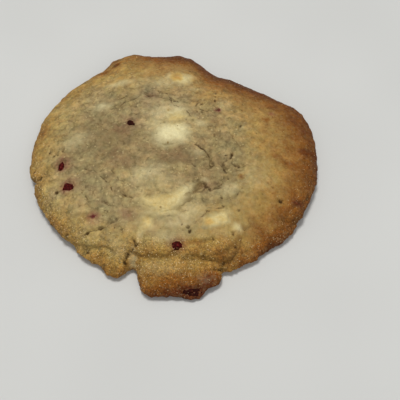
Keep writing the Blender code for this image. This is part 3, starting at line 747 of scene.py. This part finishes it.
def chocolate_mesh(piece):
    """A chunk with a softly melted skin."""
    mesh = remeshed(merged_copy(piece.node), CHUNK_VOXEL, CHUNK_ROUNDS)
    at = plan(mesh)
    return roughened(mesh, at, lumps(at, CHUNK_LUMPS))


def colour_chocolate(mesh, piece):
    at = plan(mesh)
    add_attribute(mesh, "milk", piece.milkiness(at))
    add_attribute(mesh, "toasted", toasted(at, piece.toasted))


def berry_mesh(node, darkness):
    """A dried berry crumb of small round seed cells."""
    mesh = remeshed(merged_copy(node), BERRY_VOXEL, BERRY_ROUNDS)
    at = plan(mesh)
    cells = np.array([noise.voronoi(Vector(place) / SEED_CELL)[0][0] for place in at])
    lift = CELL_SWELL - CELL_GROOVE * np.minimum(cells, 0.75) ** 1.5 + lumps(at, BERRY_LUMPS)
    middle = 0.5 * (at[:, 2].min() + at[:, 2].max())
    at[:, 2] -= FLATTENED * np.maximum(at[:, 2] - middle, 0.0)
    add_attribute(mesh, "seam", smooth(0.3, 0.75, cells))
    add_attribute(mesh, "dark", np.full(len(at), darkness))
    return roughened(mesh, at, lift)


# ---- crumbs and sugar ------------------------------------------------

SUGAR = {
    "Density": 2.1e6, "Smallest": 0.20 * MM, "Largest": 0.50 * MM, "Flatness": 0.45,
    "Sunk": -0.04 * MM, "Seed": 3,
}
CRUMBS = {
    "Density": 0.34e6, "Smallest": 0.5 * MM, "Largest": 1.1 * MM, "Flatness": 0.55,
    "Sunk": -0.12 * MM, "Seed": 8,
}
GRAIN_TURN_SEED, GRAIN_SHAPE_SEED = 5, 9


class Tree:
    """A Geometry Nodes tree with a mesh in, a mesh out and named number inputs."""

    def __init__(self, name, **numbers):
        self.tree = bpy.data.node_groups.new(name, "GeometryNodeTree")
        new_socket = self.tree.interface.new_socket
        new_socket("Geometry", in_out="INPUT", socket_type="NodeSocketGeometry")
        new_socket("Geometry", in_out="OUTPUT", socket_type="NodeSocketGeometry")
        self.inputs = {
            label: new_socket(label, in_out="INPUT", socket_type=kind).identifier
            for label, kind in numbers.items()
        }
        self.given = self.tree.nodes.new("NodeGroupInput").outputs

    def add(self, kind, settings=(), **values):
        """A new node, with values or the outputs of others on its input sockets."""
        node = self.tree.nodes.new(kind)
        for name, value in dict(settings).items():
            setattr(node, name, value)
        for name, value in values.items():
            self.put(node.inputs[name.replace("_", " ")], value)
        return node

    def put(self, socket, value):
        if isinstance(value, bpy.types.NodeSocket):
            self.tree.links.new(value, socket)
        else:
            socket.default_value = value

    def drawn(self, kind, low, high, seed):
        """A number or vector drawn for each point between two others."""
        node = self.add("FunctionNodeRandomValue", {"data_type": kind}, Seed=seed)
        sockets = [socket for socket in node.inputs if socket.enabled]
        self.put(sockets[0], low)
        self.put(sockets[1], high)
        return [socket for socket in node.outputs if socket.enabled][0]


def grain_tree(name, material):
    """Scatters small uneven grains over a surface, as thick as one of its attributes says."""
    tree = Tree(
        name, Density="NodeSocketFloat", Smallest="NodeSocketFloat", Largest="NodeSocketFloat",
        Flatness="NodeSocketFloat", Sunk="NodeSocketFloat", Seed="NodeSocketInt",
    )
    given = tree.given
    thickness = tree.add("GeometryNodeInputNamedAttribute", {"data_type": "FLOAT"}, Name=name)
    density = tree.add("ShaderNodeMath", {"operation": "MULTIPLY"})
    tree.put(density.inputs[0], given["Density"])
    tree.put(density.inputs[1], thickness.outputs["Attribute"])
    points = tree.add(
        "GeometryNodeDistributePointsOnFaces", Mesh=given["Geometry"], Density=density.outputs[0],
        Seed=given["Seed"],
    )
    grain = tree.add("GeometryNodeMeshIcoSphere", Subdivisions=1, Radius=0.5)
    size = tree.drawn("FLOAT", given["Smallest"], given["Largest"], given["Seed"])
    turn = tree.drawn("FLOAT_VECTOR", (-math.pi,) * 3, (math.pi,) * 3, GRAIN_TURN_SEED)
    shape = tree.drawn("FLOAT_VECTOR", given["Flatness"], (1.0,) * 3, GRAIN_SHAPE_SEED)
    scale = tree.add("ShaderNodeVectorMath", {"operation": "SCALE"}, Scale=size)
    tree.put(scale.inputs[0], shape)
    placed = tree.add(
        "GeometryNodeInstanceOnPoints", Points=points.outputs["Points"],
        Instance=grain.outputs["Mesh"], Rotation=turn, Scale=scale.outputs["Vector"],
    )
    real = tree.add("GeometryNodeRealizeInstances", Geometry=placed.outputs["Instances"])
    depth = tree.add("ShaderNodeCombineXYZ", Z=given["Sunk"])
    lower = tree.add(
        "GeometryNodeTransform", Geometry=real.outputs["Geometry"],
        Translation=depth.outputs["Vector"],
    )
    finish = tree.add(
        "GeometryNodeSetMaterial", Geometry=lower.outputs["Geometry"], Material=material,
    )
    tree.add("NodeGroupOutput", Geometry=finish.outputs["Geometry"])
    return tree


def scattered(name, dough, material, values):
    """One plain mesh of all the grains of a kind."""
    grains = grain_tree(name, material)
    holder = new_piece("holder", dough.data.copy())
    spread = holder.modifiers.new("Spread", "NODES")
    spread.node_group = grains.tree
    for label, value in values.items():
        spread[grains.inputs[label]] = value
    mesh = evaluated(holder)
    piece = bpy.data.objects.new(name, mesh)
    bpy.context.scene.collection.objects.link(piece)
    return piece


def add_thickness(dough):
    """Keeps on the dough how thickly each kind of grain lies on it, from 0 to 1."""
    places = Places(dough.data)
    patchy = smooth(-0.35, 0.45, noise_at(places.at, 5.0, 91.0))
    sugar = (0.02 + 0.98 * places.sandy) * (0.35 + 0.65 * patchy)
    sugar *= smooth(0.15, 0.55, places.up) * smooth(0.8, 2.0, places.z)
    crumbs = places.sandy * (0.3 + 0.7 * patchy) + 0.015
    crumbs *= smooth(-0.1, 0.3, places.up) * smooth(0.5, 1.5, places.z)
    add_attribute(dough.data, "sugar", sugar)
    add_attribute(dough.data, "crumbs", crumbs)


# ---- materials -------------------------------------------------------

def tone(red, green, blue):
    """The surface colour that a level surface shows as this one, 0 to 255, in the scene's light."""
    shown = np.array((red, green, blue)) / 255.0
    linear = np.where(shown <= 0.04045, shown / 12.92, ((shown + 0.055) / 1.055) ** 2.4)
    return (*np.minimum(linear, 1.0), 1.0)


DOUGH_TONES = (                 # from pale to the darkest brown
    (0.00, tone(172, 151, 102)), (0.18, tone(170, 145, 88)), (0.38, tone(170, 136, 71)),
    (0.58, tone(157, 117, 56)), (0.78, tone(134, 84, 27)), (1.00, tone(94, 46, 4)),
)
CHOCOLATE_TONES = (             # from plain to toasted
    (0.0, tone(230, 218, 168)), (0.30, tone(216, 198, 140)), (0.60, tone(206, 174, 100)),
    (1.0, tone(188, 136, 62)),
)
BERRY_TONES = ((0.40, tone(40, 0, 0)), (0.52, tone(76, 2, 2)), (0.66, tone(136, 44, 38)))
# The darkest tone lies over a berry crumb as far as its given darkness.
BERRY_SEAM, BERRY_DARKEST = tone(54, 6, 6), tone(36, 10, 2)
FLOOR_TONES = ((0.3, tone(207, 208, 206)), (0.7, tone(211, 212, 210)))
DAMP_TONE, GREYISH_TONE = tone(126, 105, 68), tone(142, 127, 87)
# The fold tone is painted shade in the hollows of the folds.
FOLD_SHADE_TONE, SMUDGE_TONE, STROKE_TONE = tone(104, 88, 58), tone(112, 94, 58), tone(98, 82, 46)
JUICE_TONE, JUICE_CORE_TONE = tone(122, 58, 54), tone(84, 18, 20)
# The crease and crack tones are painted shade.
PORE_TONE, CREASE_SHADE_TONE, CRACK_SHADE_TONE = tone(96, 54, 16), tone(96, 70, 26), tone(60, 38, 6)
# The glint tone is a painted highlight on pale sugar.
GLINT_HIGHLIGHT_TONE, SUGAR_TONE = tone(204, 184, 132), tone(240, 216, 164)
COVERED_TONE = tone(150, 131, 88)            # of a chunk where dough lies over it
PLAIN = (1.0, 1.0, 1.0, 1.0)
COOL_TINT, WARM_TINT = (0.97, 0.995, 1.19, 1.0), (1.03, 0.965, 0.76, 1.0)
GREENISH_TINT, REDDISH_TINT = (0.95, 1.0, 1.05, 1.0), (1.02, 0.97, 1.03, 1.0)


class Paint:
    """Adds shader nodes to one material and joins them."""

    def __init__(self, name):
        self.material = bpy.data.materials.new(name)
        self.material.use_nodes = True
        self.tree = self.material.node_tree
        self.shader = self.tree.nodes["Principled BSDF"]
        self.places = self.add("ShaderNodeTexCoord").outputs["Object"]

    def add(self, kind, **values):
        node = self.tree.nodes.new(kind)
        for name, value in values.items():
            setattr(node, name, value)
        return node

    def put(self, socket, value):
        if isinstance(value, (int, float, tuple)):
            socket.default_value = value
        else:
            self.tree.links.new(value, socket)

    def attribute(self, name):
        return self.add("ShaderNodeAttribute", attribute_name=name).outputs["Fac"]

    def shifted(self, places, shift):
        """Places moved along, so that patterns of one kind differ."""
        place = self.add("ShaderNodeMapping")
        place.inputs["Location"].default_value = (shift, 2.0 * shift, 0.5 * shift)
        self.put(place.inputs["Vector"], places)
        return place.outputs["Vector"]

    def noise(self, size, detail=2.0, roughness=0.5, shift=0.0):
        """Noise from 0 to 1 with lumps of a size in mm."""
        node = self.add("ShaderNodeTexNoise")
        node.inputs["Scale"].default_value = 1.0 / (size * MM)
        node.inputs["Detail"].default_value = detail
        node.inputs["Roughness"].default_value = roughness
        self.put(node.inputs["Vector"], self.shifted(self.places, shift))
        return node.outputs["Fac"]

    def crackle(self, size, width, shift=0.0):
        """1 on the thin winding edges of cells of a size in mm, 0 inside them."""
        wander = self.add("ShaderNodeTexNoise")
        wander.inputs["Scale"].default_value = 1.0 / (0.7 * size * MM)
        wander.inputs["Detail"].default_value = 3.0
        self.put(wander.inputs["Vector"], self.places)
        moved = self.add("ShaderNodeVectorMath", operation="MULTIPLY_ADD")
        self.put(moved.inputs[0], wander.outputs["Color"])
        moved.inputs[1].default_value = (1.3 * size * MM,) * 3
        self.put(moved.inputs[2], self.places)
        cells = self.add("ShaderNodeTexVoronoi", feature="DISTANCE_TO_EDGE")
        cells.inputs["Scale"].default_value = 1.0 / (size * MM)
        self.put(cells.inputs["Vector"], self.shifted(moved.outputs["Vector"], shift))
        return self.spread(cells.outputs["Distance"], (0.0, width), (1.0, 0.0))

    def math(self, operation, first, second):
        node = self.add("ShaderNodeMath", operation=operation)
        self.put(node.inputs[0], first)
        self.put(node.inputs[1], second)
        return node.outputs[0]

    def times(self, first, second):
        return self.math("MULTIPLY", first, second)

    def plus(self, first, second):
        return self.math("ADD", first, second)

    def spread(self, value, ends, values):
        """Maps the range between two ends to that between two values, held at both ends."""
        node = self.add("ShaderNodeMapRange")
        self.put(node.inputs["Value"], value)
        for name, number in zip(("From Min", "From Max", "To Min", "To Max"), (*ends, *values)):
            node.inputs[name].default_value = number
        return node.outputs["Result"]

    def patches(self, size, detail, roughness, shift, ends, values):
        """Noise with lumps of a size in mm, spread from its ends to two values."""
        return self.spread(self.noise(size, detail, roughness, shift), ends, values)

    def uneven(self, value, size, amount, shift):
        """A value with noise of a size in mm added to it."""
        added = self.patches(size, 3.0, 0.6, shift, (0.25, 0.75), (-amount, amount))
        return self.plus(value, added)

    def ramp(self, value, *stops):
        node = self.add("ShaderNodeValToRGB")
        elements = node.color_ramp.elements
        while len(elements) < len(stops):
            elements.new(0.5)
        for element, (place, colour) in zip(elements, stops):
            element.position = place
            element.color = colour
        self.put(node.inputs["Fac"], value)
        return node.outputs["Color"]

    def mix(self, share, first, second, blend="MIX"):
        node = self.add("ShaderNodeMix", data_type="RGBA", blend_type=blend)
        first_socket, second_socket = [socket for socket in node.inputs if socket.type == "RGBA"]
        self.put([socket for socket in node.inputs if socket.type == "VALUE"][0], share)
        self.put(first_socket, first)
        self.put(second_socket, second)
        return [socket for socket in node.outputs if socket.type == "RGBA"][0]

    def over(self, colour, tone, *shares):
        """A tone laid over a colour, as thick as the product of its shares."""
        share = shares[0]
        for more in shares[1:]:
            share = self.times(share, more)
        return self.mix(share, colour, tone)

    def tinted(self, colour, tint):
        return self.mix(1.0, colour, tint, "MULTIPLY")

    def lit(self, colour, value):
        """A colour made lighter or darker by a value."""
        node = self.add("ShaderNodeCombineColor")
        for name in ("Red", "Green", "Blue"):
            self.put(node.inputs[name], value)
        return self.tinted(colour, node.outputs["Color"])

    def bump(self, height, distance, strength):
        node = self.add("ShaderNodeBump")
        node.inputs["Distance"].default_value = distance * MM
        node.inputs["Strength"].default_value = strength
        self.put(node.inputs["Height"], height)
        self.put(self.shader.inputs["Normal"], node.outputs["Normal"])

    def finish(self, colour, roughness, specular):
        self.put(self.shader.inputs["Base Color"], colour)
        self.put(self.shader.inputs["Roughness"], roughness)
        self.shader.inputs["Specular IOR Level"].default_value = specular
        return self.material


FULL = (0.0, 1.0)               # the whole range of an attribute


def melted_chocolate(paint):
    """The chocolate's colour, and how much of it shows."""
    toast = paint.uneven(paint.attribute("toasted"), 1.2, 0.12, 0.0)
    mottle = paint.patches(0.8, 3.0, 0.7, 0.3, (0.3, 0.7), (0.86, 1.10))
    shows = paint.uneven(paint.attribute("milk"), 1.1, 0.10, 0.4)
    return paint.lit(paint.ramp(toast, *CHOCOLATE_TONES), mottle), shows


def soft_dough(paint, colour):
    """Damp and greyish places."""
    damp = paint.uneven(paint.times(paint.attribute("damp"), 0.9), 1.8, 0.06, 0.11)
    colour = paint.over(colour, DAMP_TONE, damp)
    return paint.over(colour, GREYISH_TONE, paint.attribute("greyish"), 0.8)


def warmed(paint, colour, warmth):
    """Turns the colour a little from place to place, and from cool behind to warm in front."""
    turn = paint.patches(3.6, 3.0, 0.65, 0.12, (0.38, 0.62), (0.0, 1.0))
    colour = paint.tinted(colour, paint.mix(turn, GREENISH_TINT, REDDISH_TINT))
    tint = paint.mix(paint.spread(warmth, (0.0, 0.35), (1.0, 0.0)), PLAIN, COOL_TINT)
    tint = paint.mix(paint.spread(warmth, (0.35, 1.0), (0.0, 1.0)), tint, WARM_TINT)
    return paint.tinted(colour, tint)


def mottled(paint, colour, flaky, calm):
    """Light and dark patches of two sizes, stronger on flaky skin and calmer where it is damp."""
    small = paint.patches(2.0, 3.0, 0.65, 0.33, (0.36, 0.64), (-1.0, 1.0))
    small = paint.times(small, paint.spread(flaky, FULL, (0.12, 0.25)))
    wide = paint.patches(4.6, 2.0, 0.6, 0.27, (0.38, 0.62), (-1.0, 1.0))
    wide = paint.times(wide, paint.spread(flaky, FULL, (0.09, 0.16)))
    return paint.lit(colour, paint.plus(paint.times(paint.plus(small, wide), calm), 0.99))


def stained(paint, colour):
    """Juice, with a darker core where there is most of it."""
    juice = paint.attribute("juice")
    patchy = paint.patches(1.3, 3.0, 0.6, 0.15, (0.35, 0.65), (0.66, 1.14))
    colour = paint.over(colour, JUICE_TONE, juice, patchy)
    core = paint.spread(paint.uneven(juice, 0.7, 0.12, 0.9), (0.62, 0.80), (0.0, 0.85))
    return paint.over(colour, JUICE_CORE_TONE, core)


def smudged(paint, colour, flaky, calm):
    smudge = paint.patches(1.5, 3.0, 0.6, 0.52, (0.56, 0.70), (0.0, 0.34))
    amount = paint.times(paint.spread(flaky, FULL, (0.25, 1.0)), calm)
    return paint.over(colour, SMUDGE_TONE, smudge, amount)


def skin_strokes(paint, flaky):
    """Short winding lines where the flaky skin has broken."""
    broken = paint.patches(2.4, 2.0, 0.6, 0.45, (0.50, 0.62), (0.0, 0.62))
    broken = paint.times(broken, paint.spread(flaky, (0.0, 0.8), (0.2, 1.0)))
    return paint.times(paint.crackle(3.0, 0.14, 0.02), broken)


def dappled(paint, colour, sandy):
    """Light and dark grains, stronger where the dough is sandy."""
    speck = paint.patches(0.5, 4.0, 0.8, 0.2, (0.35, 0.65), (-0.9, 1.1))
    speck = paint.times(speck, paint.spread(sandy, FULL, (0.05, 0.64)))
    return paint.lit(colour, paint.plus(speck, 1.0))


def browned_pores(paint, colour, bake):
    pores = paint.patches(0.8, 2.0, 0.6, 0.37, (0.58, 0.68), (0.0, 0.5))
    return paint.over(colour, PORE_TONE, pores, paint.spread(bake, (0.25, 0.55), (0.0, 1.0)))


# Painted shade in the soft creases, uneven in strength.
def shaded_creases(paint, colour):
    patchy = paint.patches(1.6, 2.0, 0.5, 0.0, (0.3, 0.6), (0.6, 1.2))
    return paint.over(colour, CREASE_SHADE_TONE, paint.attribute("crease_shade"), patchy)


def painted_glints(paint, colour, bake, flaky, sandy):
    """Small pale specks of sugar in the skin, painted as glinting highlights, fewer where it is
    browned.
    """
    glint = paint.patches(0.9, 0.0, 0.5, 0.66, (0.735, 0.83), (0.0, 0.60))
    pale = paint.spread(bake, (0.25, 0.7), (1.0, 0.15))
    broken = paint.spread(paint.math("MAXIMUM", flaky, sandy), (0.0, 0.6), (0.15, 1.0))
    return paint.over(colour, GLINT_HIGHLIGHT_TONE, glint, pale, broken)


def shaded_cracks(paint, colour):
    """Painted shade in the cracks and holes, less where the dough is damp."""
    ragged = paint.patches(0.6, 3.0, 0.7, 0.8, (0.3, 0.7), (-0.10, 0.10))
    crack_shade = paint.spread(paint.plus(paint.attribute("crack_shade"), ragged), (0.58, 0.88), (0.0, 0.92))
    dry = paint.spread(paint.attribute("damp"), (0.1, 0.6), (1.0, 0.74))
    return paint.over(colour, CRACK_SHADE_TONE, crack_shade, dry)


def add_grain(paint, sandy, warmth, strokes):
    """Fine relief, rougher where the dough is sandy and calmer at the back."""
    grains = paint.plus(paint.noise(0.5, 4.0, 0.75, 0.7), paint.noise(1.2, 2.0, 0.6, 0.9))
    grains = paint.math("SUBTRACT", grains, paint.times(strokes, 0.35))
    grains = paint.times(grains, paint.spread(sandy, FULL, (0.6, 1.8)))
    grains = paint.times(grains, paint.spread(warmth, (0.0, 0.3), (0.5, 1.0)))
    paint.bump(grains, 0.30, 0.9)


def dough_material():
    paint = Paint("baked_dough")
    sandy, flaky, warmth = [paint.attribute(name) for name in ("sandy", "flaky", "warmth")]
    calm = paint.spread(paint.attribute("damp"), (0.2, 1.0), (1.0, 0.42))
    bake = paint.uneven(paint.uneven(paint.attribute("bake"), 2.4, 0.07, 0.0), 0.75, 0.07, 0.3)
    strokes = skin_strokes(paint, flaky)

    colour = soft_dough(paint, paint.ramp(bake, *DOUGH_TONES))
    colour = mottled(paint, warmed(paint, colour, warmth), flaky, calm)
    # Painted shade in the hollows of the shallow folds.
    colour = paint.over(colour, FOLD_SHADE_TONE, paint.attribute("fold_shade"), 0.45)
    colour = smudged(paint, stained(paint, colour), flaky, calm)
    colour = dappled(paint, paint.over(colour, STROKE_TONE, strokes), sandy)
    colour = browned_pores(paint, colour, bake)
    chocolate, shows = melted_chocolate(paint)
    colour = shaded_creases(paint, paint.mix(shows, colour, chocolate))
    colour = shaded_cracks(paint, painted_glints(paint, colour, bake, flaky, sandy))

    add_grain(paint, sandy, warmth, strokes)
    return paint.finish(colour, paint.patches(1.4, 2.0, 0.5, 0.5, (0.3, 0.7), (0.6, 0.85)), 0.2)


def chocolate_material():
    paint = Paint("white_chocolate")
    chocolate, shows = melted_chocolate(paint)
    paint.bump(paint.noise(0.7, 4.0, 0.7), 0.20, 0.7)
    roughness = paint.patches(1.5, 2.0, 0.5, 0.0, (0.3, 0.7), (0.5, 0.7))
    return paint.finish(paint.mix(shows, COVERED_TONE, chocolate), roughness, 0.25)


def berry_material():
    paint = Paint("dried_berry")
    colour = paint.ramp(paint.noise(0.6, 4.0, 0.75), *BERRY_TONES)
    colour = paint.over(colour, BERRY_SEAM, paint.attribute("seam"), 0.7)
    colour = paint.over(colour, BERRY_DARKEST, paint.attribute("dark"))
    paint.bump(paint.noise(0.4, 3.0, 0.7), 0.15, 0.8)
    return paint.finish(colour, 0.62, 0.08)


def sugar_material():
    """Clear grains that show the dough below them a little lighter."""
    paint = Paint("sugar_grain")
    bake = paint.attribute("bake")
    lightness = paint.patches(1.2, 1.0, 0.5, 0.4, (0.40, 0.64), (0.05, 0.95))
    lightness = paint.times(lightness, paint.spread(bake, (0.45, 0.90), (1.0, 0.55)))
    return paint.finish(paint.mix(lightness, paint.ramp(bake, *DOUGH_TONES), SUGAR_TONE), 0.3, 0.4)


def crumb_material():
    paint = Paint("loose_crumb")
    bake = paint.uneven(paint.attribute("bake"), 1.8, 0.14, 0.0)
    return paint.finish(paint.ramp(bake, *DOUGH_TONES), 0.75, 0.2)


def floor_material():
    paint = Paint("pale_floor")
    return paint.finish(paint.ramp(paint.noise(60.0, 1.0, 0.5), *FLOOR_TONES), 0.7, 0.2)


# ---- camera, floor and light -----------------------------------------

CAMERA_TILT = 54.0              # degrees above the floor
CAMERA_DISTANCE = 0.260
CAMERA_LENS, CAMERA_SENSOR = 67.86, 36.0
CAMERA_TARGET = Vector((8.95, -14.06, 0.0)) * MM
CLIP_START = 0.01
FLOOR_SIZE, FLOOR_DROP = 3.0, 0.1 * MM
LAMPS = (                       # name, place, width, power and colour
    ("key_light", (-0.14, 0.26, 1.52), 0.46, 13.9, (1.0, 0.985, 0.96)),
    ("fill_light", (0.40, -1.10, 1.05), 1.4, 4.2, (1.0, 0.99, 0.98)),
)
ROOM_LIGHT, ROOM_STRENGTH = (0.96, 0.965, 0.96, 1.0), 0.35


def make_camera():
    camera = bpy.data.objects.new("camera", bpy.data.cameras.new("camera"))
    bpy.context.scene.collection.objects.link(camera)
    rise = math.radians(CAMERA_TILT)
    backwards = Vector((0.0, -math.cos(rise), math.sin(rise)))
    camera.location = CAMERA_TARGET + backwards * CAMERA_DISTANCE
    camera.rotation_euler = (math.radians(90.0) - rise, 0.0, 0.0)
    camera.data.sensor_width = CAMERA_SENSOR
    camera.data.lens = CAMERA_LENS
    camera.data.clip_start = CLIP_START
    bpy.context.scene.camera = camera


def make_floor():
    shape = bmesh.new()
    bmesh.ops.create_grid(shape, x_segments=2, y_segments=2, size=FLOOR_SIZE / 2.0)
    bmesh.ops.translate(shape, verts=shape.verts, vec=(0.0, 0.0, -FLOOR_DROP))
    mesh = bpy.data.meshes.new("floor")
    shape.to_mesh(mesh)
    shape.free()
    new_piece("floor", mesh, floor_material())


def soft_lamp(name, place, width, power, colour):
    """A round lamp that looks at the cookie."""
    data = bpy.data.lights.new(name, "AREA")
    data.shape = "DISK"
    data.size = width
    data.energy = power
    data.color = colour
    lamp = bpy.data.objects.new(name, data)
    bpy.context.scene.collection.objects.link(lamp)
    lamp.location = place
    lamp.rotation_euler = (-Vector(place)).to_track_quat("-Z", "Y").to_euler()


def make_light():
    for row in LAMPS:
        soft_lamp(*row)
    world = bpy.data.worlds.new("studio")
    world.use_nodes = True
    background = world.node_tree.nodes["Background"]
    background.inputs["Color"].default_value = ROOM_LIGHT
    background.inputs["Strength"].default_value = ROOM_STRENGTH
    bpy.context.scene.world = world
    bpy.context.scene.view_settings.view_transform = "Standard"


# ---- the cookie ------------------------------------------------------

make_camera()
make_floor()
make_light()

chocolate_meshes = [chocolate_mesh(piece) for piece in CHOCOLATE]
berry_meshes = [berry_mesh(node, darkness) for node, _, darkness in BERRIES]
dough = make_dough(dough_material(), chocolate_meshes, berry_meshes)
settle(dough, "dough", "dough")

creamy = chocolate_material()
for number, (piece, mesh) in enumerate(zip(CHOCOLATE, chocolate_meshes), 1):
    colour_chocolate(mesh, piece)
    settle(new_piece("melted_chunk_{}".format(number), mesh, creamy), "white_chocolate", piece.node)
wine_red = berry_material()
for number, (row, mesh) in enumerate(zip(BERRIES, berry_meshes), 1):
    settle(new_piece("berry_crumb_{}".format(number), mesh, wine_red), "berry", row[0])

add_thickness(dough)
settle(scattered("sugar", dough, sugar_material(), SUGAR), "dough")
settle(scattered("crumbs", dough, crumb_material(), CRUMBS), "dough")
